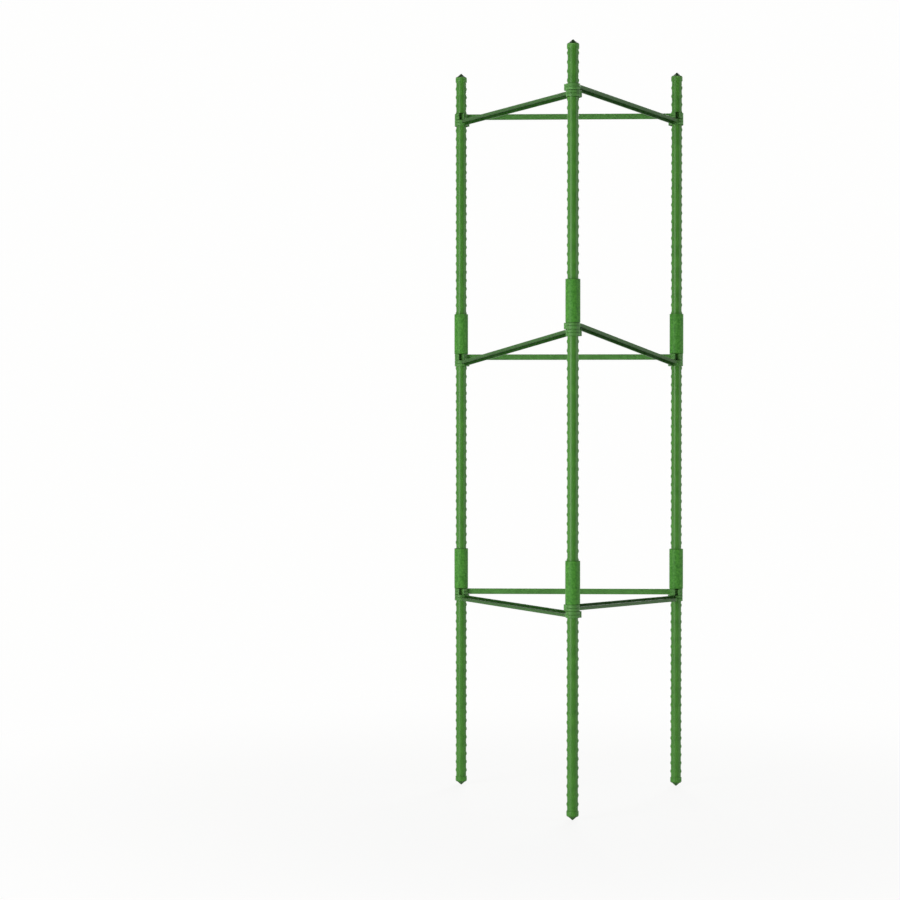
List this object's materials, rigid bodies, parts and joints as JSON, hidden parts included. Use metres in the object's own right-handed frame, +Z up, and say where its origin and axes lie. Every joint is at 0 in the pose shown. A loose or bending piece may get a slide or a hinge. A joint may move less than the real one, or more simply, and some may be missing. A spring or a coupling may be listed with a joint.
{
  "type": "tomato cage",
  "caption": "Triangular plant support cage: jointed, nubbed, plastic-coated steel poles with pointed caps, tied by sliding rings of clip-on arms that swing open.",
  "frame": {"origin": "centre of the cage's footprint box, at the height of the foot tips", "axes": "+Z up along the poles, -Y towards the single front pole, +X to the right seen from the front"},
  "size_m": [0.385, 0.3366, 1.1994],
  "materials": {
    "stake_coat": "satin extruded coat with nubs",
    "steel_tube": "bare welded tube, hidden",
    "coupler_plastic": "satin, slightly mottled",
    "cap_plastic": "satin moulded",
    "arm_plastic": "satin moulded"
  },
  "bodies": {
    "frame": {"left_bottom_stake": "stake_coat", "left_middle_stake": "stake_coat", "left_top_stake": "stake_coat", "right_bottom_stake": "stake_coat", "right_middle_stake": "stake_coat", "right_top_stake": "stake_coat", "front_bottom_stake": "stake_coat", "front_middle_stake": "stake_coat", "front_top_stake": "stake_coat", "left_bottom_tube": "steel_tube", "left_middle_tube": "steel_tube", "left_top_tube": "steel_tube", "right_bottom_tube": "steel_tube", "right_middle_tube": "steel_tube", "right_top_tube": "steel_tube", "front_bottom_tube": "steel_tube", "front_middle_tube": "steel_tube", "front_top_tube": "steel_tube", "left_lower_coupler": "coupler_plastic", "left_upper_coupler": "coupler_plastic", "right_lower_coupler": "coupler_plastic", "right_upper_coupler": "coupler_plastic", "front_lower_coupler": "coupler_plastic", "front_upper_coupler": "coupler_plastic", "left_top_cap": "cap_plastic", "left_foot_cap": "cap_plastic", "right_top_cap": "cap_plastic", "right_foot_cap": "cap_plastic", "front_top_cap": "cap_plastic", "front_foot_cap": "cap_plastic"},
    "low_ring": {"low_back_arm": "arm_plastic"},
    "low_left_gate": {"low_left_arm": "arm_plastic"},
    "low_right_gate": {"low_right_arm": "arm_plastic"},
    "middle_ring": {"middle_back_arm": "arm_plastic"},
    "middle_left_gate": {"middle_left_arm": "arm_plastic"},
    "middle_right_gate": {"middle_right_arm": "arm_plastic"},
    "top_ring": {"top_back_arm": "arm_plastic"},
    "top_left_gate": {"top_left_arm": "arm_plastic"},
    "top_right_gate": {"top_right_arm": "arm_plastic"}
  },
  "joints": [
    {"name": "low_ring_slide", "type": "slide", "parent": "frame", "child": "low_ring", "axis": [0, 0, 1], "range_m": [-0.26, 0]},
    {"name": "low_left_swing", "type": "hinge", "parent": "low_ring", "child": "low_left_gate", "pos_m": [-0.181, 0.15675, 0], "axis": [0, 0, -1], "range_deg": [0, 120]},
    {"name": "low_right_swing", "type": "hinge", "parent": "low_ring", "child": "low_right_gate", "pos_m": [0.181, 0.15675, 0], "axis": [0, 0, 1], "range_deg": [0, 120]},
    {"name": "middle_ring_slide", "type": "slide", "parent": "frame", "child": "middle_ring", "axis": [0, 0, 1], "range_m": [-0.28, 0]},
    {"name": "middle_left_swing", "type": "hinge", "parent": "middle_ring", "child": "middle_left_gate", "pos_m": [-0.181, 0.15675, 0], "axis": [0, 0, -1], "range_deg": [0, 120]},
    {"name": "middle_right_swing", "type": "hinge", "parent": "middle_ring", "child": "middle_right_gate", "pos_m": [0.181, 0.15675, 0], "axis": [0, 0, 1], "range_deg": [0, 120]},
    {"name": "top_ring_slide", "type": "slide", "parent": "frame", "child": "top_ring", "axis": [0, 0, 1], "range_m": [-0.27, 0.045]},
    {"name": "top_left_swing", "type": "hinge", "parent": "top_ring", "child": "top_left_gate", "pos_m": [-0.181, 0.15675, 0], "axis": [0, 0, -1], "range_deg": [0, 120]},
    {"name": "top_right_swing", "type": "hinge", "parent": "top_ring", "child": "top_right_gate", "pos_m": [0.181, 0.15675, 0], "axis": [0, 0, 1], "range_deg": [0, 120]}
  ]
}
